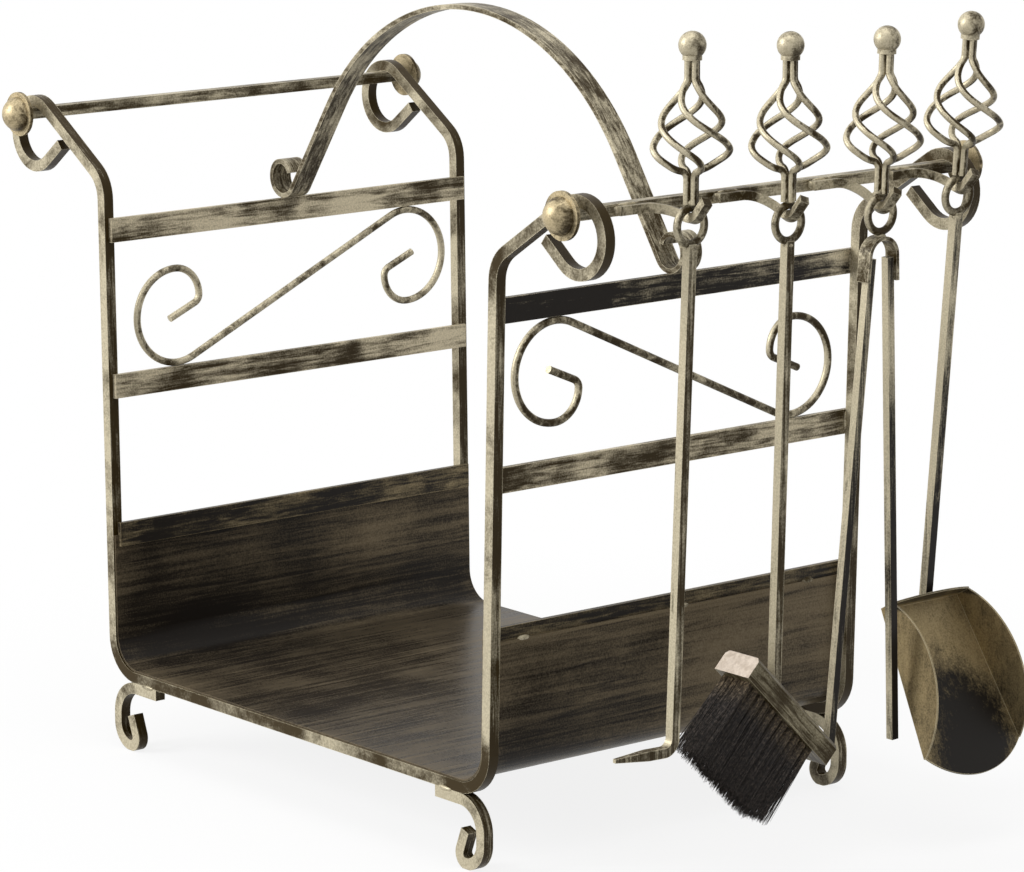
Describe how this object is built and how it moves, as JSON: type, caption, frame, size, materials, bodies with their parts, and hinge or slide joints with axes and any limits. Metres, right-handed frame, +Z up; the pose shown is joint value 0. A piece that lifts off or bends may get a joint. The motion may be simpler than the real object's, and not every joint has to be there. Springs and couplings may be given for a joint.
{
  "type": "firewood rack",
  "caption": "Log rack of bent square bar with a sheet trough, side scrolls, bowed carrying handle and hearth tools that swing on side hooks.",
  "frame": {"origin": "on the floor, midway between the four feet", "axes": "+X across the rack towards the tools, +Y from the front frame to the rear one, +Z up"},
  "size_m": [0.802, 0.438, 0.6528],
  "materials": {
    "iron": "black, brushed with gold",
    "gold": "worn antique gold on black",
    "trough": "black satin with gold streaks",
    "pan": "black with gold edges",
    "block": "painted wood, ends bare",
    "bristles": "black bristle"
  },
  "bodies": {
    "rack": {"front_frame": "iron", "rear_frame": "iron", "left_rail": "iron", "right_rail": "iron", "front_left_knob": "gold", "front_right_knob": "gold", "rear_left_knob": "gold", "rear_right_knob": "gold", "left_upper_strap": "iron", "left_lower_strap": "iron", "left_trough_strap": "iron", "right_upper_strap": "iron", "right_lower_strap": "iron", "right_trough_strap": "iron", "trough_sheet": "trough", "left_scroll": "iron", "right_scroll": "iron", "carry_handle": "iron", "front_left_foot": "iron", "front_right_foot": "iron", "rear_left_foot": "iron", "rear_right_foot": "iron", "poker_hook": "iron", "brush_hook": "iron", "tongs_hook": "iron", "shovel_hook": "iron"},
    "poker": {"poker_finial": "gold", "poker_basket": "gold", "poker_eye": "iron", "poker_rod": "iron"},
    "brush": {"brush_finial": "gold", "brush_basket": "gold", "brush_eye": "iron", "brush_rod": "iron", "brush_block": "block", "brush_bristles": "bristles"},
    "tongs": {"tongs_finial": "gold", "tongs_basket": "gold", "tongs_eye": "iron", "tongs_spring": "iron"},
    "tongs_front": {"tongs_front_arm": "iron"},
    "tongs_rear": {"tongs_rear_arm": "iron"},
    "shovel": {"shovel_finial": "gold", "shovel_basket": "gold", "shovel_eye": "iron", "shovel_rod": "iron", "shovel_pan": "pan"}
  },
  "joints": [
    {"name": "poker_swing", "type": "hinge", "parent": "rack", "child": "poker", "pos_m": [0.38292, -0.1115, 0.5234], "axis": [0, -1, 0], "range_deg": [-10, 20]},
    {"name": "brush_swing", "type": "hinge", "parent": "rack", "child": "brush", "pos_m": [0.38294, -0.0143, 0.51589], "axis": [0, -1, 0], "range_deg": [-10, 20]},
    {"name": "tongs_swing", "type": "hinge", "parent": "rack", "child": "tongs", "pos_m": [0.38229, 0.082, 0.51272], "axis": [0, -1, 0], "range_deg": [-10, 20]},
    {"name": "shovel_swing", "type": "hinge", "parent": "rack", "child": "shovel", "pos_m": [0.38321, 0.1635, 0.5193], "axis": [0, -1, 0], "range_deg": [-10, 20]},
    {"name": "tongs_front_squeeze", "type": "hinge", "parent": "tongs", "child": "tongs_front", "pos_m": [0.38229, 0.08074, 0.46774], "axis": [1, 0, 0], "range_deg": [0, 4], "stiffness_Nm_per_rad": 5, "deforming": ["tongs_spring"]},
    {"name": "tongs_rear_squeeze", "type": "hinge", "parent": "tongs", "child": "tongs_rear", "pos_m": [0.38229, 0.08074, 0.46774], "axis": [1, 0, 0], "range_deg": [-4, 0], "stiffness_Nm_per_rad": 5, "deforming": ["tongs_spring"]}
  ],
  "couplings": [
    {"joint": "tongs_rear_squeeze", "follows": "tongs_front_squeeze", "ratio": -1}
  ]
}
